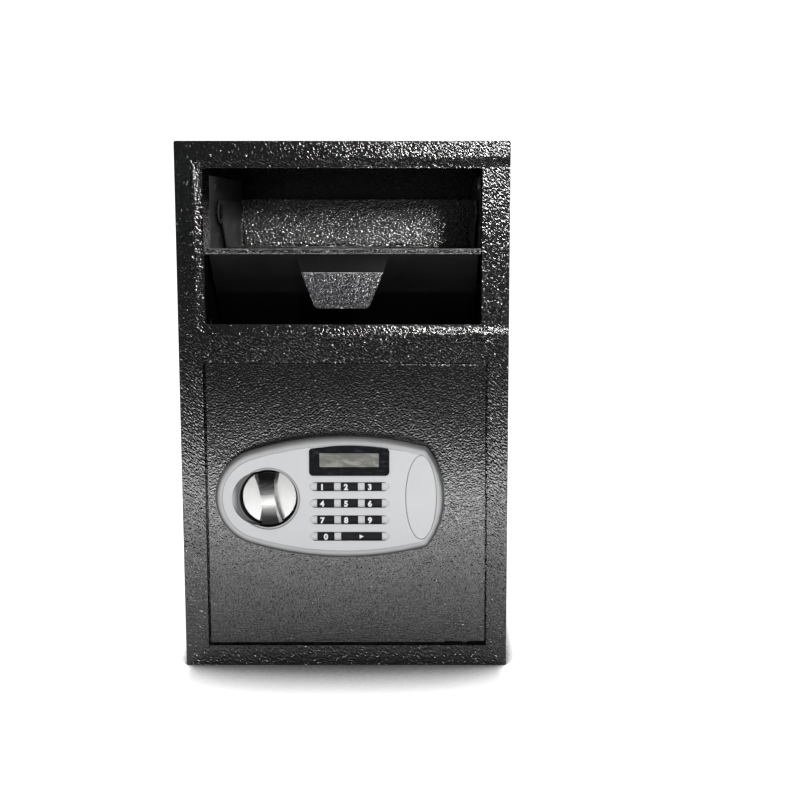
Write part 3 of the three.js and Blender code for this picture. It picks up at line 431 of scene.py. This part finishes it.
def display_film():
    """Unlit display: grey-green film under a smeared clear window."""
    film = Finish("display_film")
    smear = film.noise(size=0.009, detail=5.0, rough=0.65, stretch=(1.8, 1, 0.6), lean=0.3)
    scratch = film.noise(size=0.003, detail=3.0, rough=0.7, stretch=(2.9, 1, 0.3), lean=0.35)
    mark = smear.above(0.42, 0.7) * 0.65 + scratch.above(0.55, 0.75) * 0.35
    return film.surface(
        base_color=film.color(mark, (0.12, 0.122, 0.105), (0.36, 0.35, 0.31)),
        roughness=0.25 + smear * 0.2, coat_weight=0.6)


def needle_felt():
    """Short dark felt with lighter fibres."""
    felt = Finish("needle_felt")
    fibre = felt.noise(size=0.0012, detail=4.0, rough=0.8)
    return felt.surface(
        base_color=felt.color(fibre.above(0.35, 0.7), (0.012, 0.012, 0.013), (0.05, 0.05, 0.054)),
        roughness=0.95, normal=felt.bump(fibre, 0.0006))


def flat_ink(name, value):
    """Printed marking ink."""
    ink = Finish(name)
    grain = ink.noise(size=0.0005, detail=2.0)
    return ink.surface(base_color=ink.color(grain, value * 0.92, value), roughness=0.5)


DIAGONAL = math.radians(-38)
finishes = {
    "powder_black": wrinkle_paint("powder_black", grain=0.0034, relief=0.0004,
                                  stretch=(0.8, 1, 1.3), lean=DIAGONAL),
    "hopper_paint": plain_paint("hopper_paint", 0.004, roughness=0.3),
    "zinc_plate": brushed("zinc_plate", (0.62, 0.63, 0.62), roughness=0.28),
    "bright_steel": brushed("bright_steel", (0.78, 0.78, 0.79), roughness=0.18,
                            stretch=(0.07, 1, 1)),
    "satin_knob": polished_knob(),
    "silver_panel": silver_panel(),
    "black_plastic": moulded("black_plastic", (0.012, 0.012, 0.013), roughness=0.45),
    "bezel_gloss": gloss_black(),
    "key_plastic": moulded("key_plastic", (0.014, 0.014, 0.016), roughness=0.32, ior=1.2),
    "display_glass": display_film(),
    "black_rubber": moulded("black_rubber", (0.012, 0.012, 0.012), roughness=0.75, relief=0.00005),
    "board": moulded("board", (0.012, 0.09, 0.04), roughness=0.4, relief=0.00003, size=0.003),
    "brass": brushed("brass", (0.72, 0.55, 0.28), roughness=0.25),
    "red_plastic": moulded("red_plastic", (0.42, 0.02, 0.02), roughness=0.4),
    "carpet": needle_felt(),
    "cell_wrap": moulded("cell_wrap", (0.03, 0.07, 0.13), roughness=0.3),
}
finish_of = {
    "front_frame": wrinkle_paint("frame_wrinkle", grain=0.0029, relief=0.00042,
                                 stretch=(0.75, 1, 1.3), lean=DIAGONAL, shape=rolled_opening),
    "door_panel": wrinkle_paint("door_wrinkle", grain=0.0024, relief=0.00025,
                                stretch=(1.1, 1, 0.95)),
    "rear_baffle": wrinkle_paint("pocket_wrinkle", grain=0.0033, relief=0.0008,
                                 stretch=(1, 1, 1), ior=3.2),
    "rim_bar": wrinkle_paint("bar_wrinkle", grain=0.0024, relief=0.0007,
                             stretch=(1.2, 1, 0.9), light=0.004),
    "pull_tab": wrinkle_paint("tab_wrinkle", grain=0.0019, relief=0.00035,
                              stretch=(1, 1, 1), dark=0.02, light=0.08, calm=tab_neck),
    # The lower pivot is near black and dull, as painted shade for the dark gap under the door.
    "lower_pivot": moulded("pivot_shade_black", (0.003, 0.003, 0.003), roughness=0.6, ior=1.1),
}
# Below the rim bar's foot the hopper's sides and cheeks go near black, as painted shade.
hopper_satin = plain_paint("hopper_satin", 0.13, roughness=0.4, shaded_below=RIM_FOOT)
for part in ("side_left", "side_right", "cheek_left", "cheek_right"):
    finish_of[f"hopper_{part}"] = hopper_satin
white_ink = flat_ink("white_ink", 0.82)


def material_of(node):
    return finish_of.get(node, finishes[slot_of[node]])


def dress(piece, material):
    piece.data.materials.clear()
    piece.data.materials.append(material)


for node, thing in frame["nodes"].items():
    dress(thing, material_of(node))


# New pieces
def add_piece(name, mesh, material, body, replaced=()):
    """A finished mesh becomes a piece that rides on a CAD body."""
    piece = put(name, mesh)
    dress(piece, material)
    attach(piece, body)
    if replaced:
        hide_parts(*replaced)
    return piece


def smooth(mesh, angle):
    mesh.polygons.foreach_set("use_smooth", np.ones(len(mesh.polygons), bool))
    mesh.set_sharp_from_angle(angle=math.radians(angle))


# Angles in degrees
WELD = 1e-6
FLAT_ANGLE = 0.6
SHARP_ANGLE = 32
EDGE_SEGMENTS = 3
FLAT_FACE_WEIGHT = 100


def softened(node, width):
    """The node's own shape with its sharp edges rounded to a width in millimetres."""
    mesh = frame["nodes"][node].data.copy()
    old_normals = mesh.attributes.get("custom_normal")
    if old_normals:
        mesh.attributes.remove(old_normals)
    cleaned = bmesh.new()
    cleaned.from_mesh(mesh)
    bmesh.ops.remove_doubles(cleaned, verts=cleaned.verts, dist=WELD)
    bmesh.ops.dissolve_limit(
        cleaned, angle_limit=math.radians(FLAT_ANGLE), verts=cleaned.verts, edges=cleaned.edges)
    cleaned.to_mesh(mesh)
    cleaned.free()
    piece = add_piece(
        f"{node}_finished", mesh, material_of(node), body_of[node], (node,))
    smooth(mesh, SHARP_ANGLE)
    if width:
        edge = piece.modifiers.new("edges", "BEVEL")
        edge.width = width * MM
        edge.segments = EDGE_SEGMENTS
        edge.limit_method = "ANGLE"
        edge.angle_limit = math.radians(SHARP_ANGLE)
        edge.use_clamp_overlap = True
    even = piece.modifiers.new("normals", "WEIGHTED_NORMAL")
    even.keep_sharp = True
    even.weight = FLAT_FACE_WEIGHT


# Nodes to soften, with the width of their edges in millimetres
SOFT_EDGES = {
    "front_frame": 0.9, "door_panel": 0.6, "rim_bar": 0.35, "pull_tab": 0.6, "lock_housing": 0.0,
    "lcd_bezel": 0.35, "lcd_display": 0.0, "knob": 0.35, "key_cover": 0.3, "battery_lid": 0.3,
    "inner_cover": 0.5, "hopper_cheek_left": 0.3, "hopper_cheek_right": 0.3, "reset_button": 0.4,
    **{key: 0.25 for key in KEYS},
}
for node, width in SOFT_EDGES.items():
    softened(node, width)


# Printing on the keys, in millimetres
DIGIT_SIZE = 8.4
DIGIT_WEIGHT = 0.42
DIGIT_ASIDE = -3.6
DIGIT_DROP = 0.6
INK_THICKNESS = 0.04
INK_LIFT = 0.02
MARK_OUTLINE = [[-2.1, -2.3], [2.5, 0.0], [-2.1, 2.3]]


def placed_print(name, flat, spot, body):
    """Print drawn in the plane (across, up), pressed to a film on a key's face.

    A point (a, b, c) goes to spot + (a, -lift - c', b), where c' is c scaled to the film.
    """
    x, y, z = spot
    points = np.empty(len(flat.vertices) * 3)
    flat.vertices.foreach_get("co", points)
    points = points.reshape(-1, 3)
    rise = points[:, 2] - points[:, 2].min()
    rise = rise / rise.max() * INK_THICKNESS * MM
    turned = np.stack([points[:, 0] + x, y - INK_LIFT * MM - rise, points[:, 1] + z], axis=1)
    flat.vertices.foreach_set("co", turned.ravel())
    flat.update()
    add_piece(name, flat, white_ink, body)


def digit_shape(text):
    """A digit thickened all round by a bevel, as a mesh about its own middle."""
    curve = bpy.data.curves.new(f"shape_{text}", "FONT")
    curve.body = text
    curve.size = DIGIT_SIZE * MM
    curve.align_x = "CENTER"
    curve.align_y = "CENTER"
    curve.bevel_depth = DIGIT_WEIGHT * MM
    curve.bevel_resolution = 1
    holder = put(f"shape_{text}", curve)
    bpy.context.view_layer.update()
    mesh = bpy.data.meshes.new_from_object(holder)
    bpy.data.objects.remove(holder)
    return mesh


def start_mark():
    """A right-pointing triangle as a thin prism: the outline at two heights, with walls."""
    outline = np.array(MARK_OUTLINE) * MM
    verts = np.concatenate([
        np.column_stack([outline, np.zeros(3)]), np.column_stack([outline, np.full(3, MM)])])
    walls = [(i, (i + 1) % 3, (i + 1) % 3 + 3, i + 3) for i in range(3)]
    mesh = bpy.data.meshes.new("start_mark")
    mesh.from_pydata(verts.tolist(), [], [(2, 1, 0), (3, 4, 5), *walls])
    return mesh


def key_print():
    """A digit left of the middle of each key, in the middle of the 0, and the wide key's mark."""
    for key in KEYS:
        low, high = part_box(key)
        middle = (low + high) / 2
        if key == "key_start":
            placed_print("start_mark", start_mark(), (middle.x, low.y, middle.z), key)
            continue
        digit = key[-1]
        aside = 0 if digit == "0" else DIGIT_ASIDE * MM
        spot = (middle.x + aside, low.y, middle.z - DIGIT_DROP * MM)
        placed_print(f"digit_{digit}", digit_shape(digit), spot, key)


key_print()


# Studio: the table's extent, its shadow (how open a spot counts as lit), and its greys
TABLE_FRONT, TABLE_BACK, TABLE_SIDE = -1.55, 2.6, 5.0
SWEEP_RADIUS, SWEEP_STEPS, WALL_TOP = 1.0, 24, 4.0
SWEEP_SMOOTH = 60
SHADOW_REACH = 0.16
SHADOW_FULL, SHADOW_END, SIDE_CUT = 0.44, 1.01, 0.5
SIDE_START, SIDE_FULL = 0.16, 0.19
SHADOW_GREY, TABLE_GREY = 0.06, 0.5
TABLE_MIRRORED = 0.05


def make_stage():
    """A pale table that runs back into an upright sweep, white to the camera.

    It keeps a shadow round the object's foot, widest in front. The sweep is a quarter
    circle: y = back + r sin t, z = r - r cos t.
    """
    floor = Finish("studio_floor")
    aside = abs(floor.axis("X")).above(SIDE_START, SIDE_FULL)
    open_floor = floor.crevice(SHADOW_REACH).above(SHADOW_FULL, SHADOW_END - aside * SIDE_CUT)
    seen = floor.ray("Camera") + floor.ray("Transmission")
    glow = open_floor * seen.most(floor.ray("Glossy") * TABLE_MIRRORED)
    stage_material = floor.surface(
        base_color=floor.color(open_floor, SHADOW_GREY, TABLE_GREY), roughness=0.9,
        specular_ior_level=0.0, emission_color=floor.color(glow, 0, 1), emission_strength=1.0)
    turn = np.linspace(0, math.pi / 2, SWEEP_STEPS)
    run = np.concatenate([
        [TABLE_FRONT], TABLE_BACK + SWEEP_RADIUS * np.sin(turn), [TABLE_BACK + SWEEP_RADIUS]])
    lift = np.concatenate([[0], SWEEP_RADIUS - SWEEP_RADIUS * np.cos(turn), [WALL_TOP]])
    verts = [(edge * TABLE_SIDE, y, z) for y, z in zip(run, lift) for edge in (-1, 1)]
    faces = [(2 * i + 1, 2 * i + 3, 2 * i + 2, 2 * i) for i in range(len(run) - 1)]
    mesh = bpy.data.meshes.new("studio_sweep")
    mesh.from_pydata(verts, [], faces)
    smooth(mesh, SWEEP_SMOOTH)
    stage = put("studio_sweep", mesh)
    dress(stage, stage_material)


# What reflections see of the room, and the even light on everything else
ROOM_FRONT, ROOM_ABOVE, ROOM_BEHIND = 0.04, 0.2, 0.8
EVEN_LIGHT = 0.55


def make_world():
    """White where it is looked at and behind the object, dim in front in reflections."""
    world = bpy.data.worlds.new("studio")
    world.use_nodes = True
    bpy.context.scene.world = world
    room = Nodes(world.node_tree, "Generated")
    behind = room.axis("Y").above(-0.2, 0.5)
    ceiling = room.axis("Z").above(0.45, 0.95)
    mirrored = ROOM_FRONT + ceiling * ROOM_ABOVE + behind * ROOM_BEHIND
    glossy = room.ray("Glossy")
    seen = room.ray("Camera") + room.ray("Transmission")
    level = seen.most(glossy * mirrored + (1 - glossy) * EVEN_LIGHT)
    backdrop = room.node("ShaderNodeBackground", inputs={"Color": rgba(1), "Strength": level})
    room.node("ShaderNodeOutputWorld", inputs={"Surface": backdrop})


# Lamps: place, aim, width, height and watts. The camera doesn't see them
LAMPS = {
    "key_box": ((0.47, -2.2, 0.92), (0, 0, 0.4), 0.2, 0.2, 8.2),
    "top_box": ((0.0, -0.7, 2.0), (0, 0, 0.3), 1.4, 0.9, 14),
    "table_box": ((0.1, -0.76, 0.02), (0.1, -0.74, 1.0), 1.3, 0.11, 4.6),
    "foot_strip": ((0.1, -0.42, 0.004), (0.1, -0.41, 1.0), 1.3, 0.03, 0.35),
}


def soft_box(name, place, aim, width, height, power):
    lamp = bpy.data.lights.new(name, "AREA")
    lamp.shape = "RECTANGLE"
    lamp.size = width
    lamp.size_y = height
    lamp.energy = power
    holder = put(name, lamp)
    holder.location = place
    holder.rotation_euler = (Vector(aim) - Vector(place)).to_track_quat("-Z", "Y").to_euler()
    holder.visible_camera = False


make_stage()
make_world()
for name, values in LAMPS.items():
    soft_box(name, *values)
